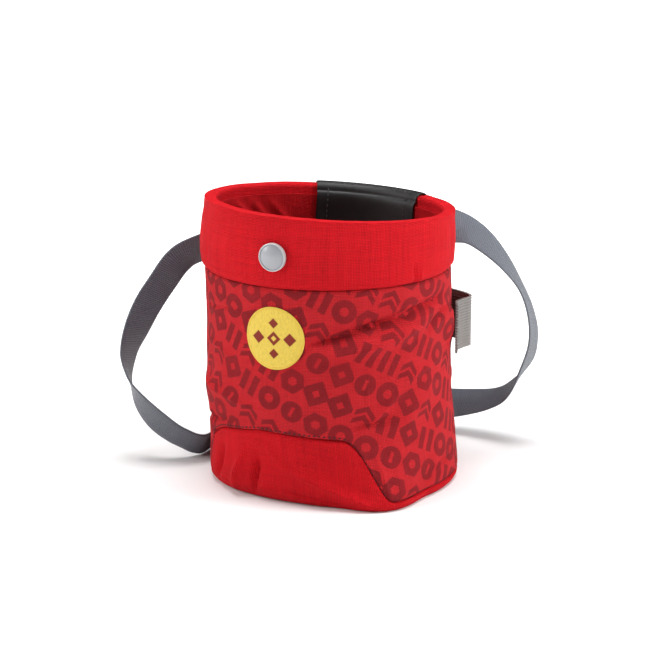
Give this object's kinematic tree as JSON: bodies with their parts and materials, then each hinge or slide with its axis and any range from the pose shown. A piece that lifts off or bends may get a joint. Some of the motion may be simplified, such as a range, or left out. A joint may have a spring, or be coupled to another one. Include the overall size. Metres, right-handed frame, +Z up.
{
  "type": "climbing chalk bag",
  "caption": "Red cloth chalk bag with a padded collar, round badge, snap, side brush loop, black rear patch and grey webbing waist belt.",
  "frame": {"origin": "middle of the flat base, on the surface that the bag stands on", "axes": "+Z up, -Y towards the front of the bag as pictured, +X to its right in the picture"},
  "size_m": [0.2409, 0.1554, 0.159],
  "materials": {
    "printed_cloth": "woven, printed with darker red shapes",
    "plain_cloth": "woven, plain red",
    "lining_cloth": "woven, plain darker red",
    "black_cloth": "coated, satin",
    "webbing": "ribbed webbing",
    "elastic": "ribbed elastic",
    "buckle_plastic": "matte",
    "snap_enamel": "smooth enamel",
    "badge_thread": "embroidered thread"
  },
  "bodies": {
    "root": {"shell": "printed_cloth", "base": "plain_cloth", "collar": "plain_cloth", "lining": "lining_cloth", "rear_patch": "black_cloth", "belt": "webbing", "buckle": "buckle_plastic", "brush_loop": "elastic", "snap_button": "snap_enamel", "badge": "badge_thread"}
  },
  "joints": []
}
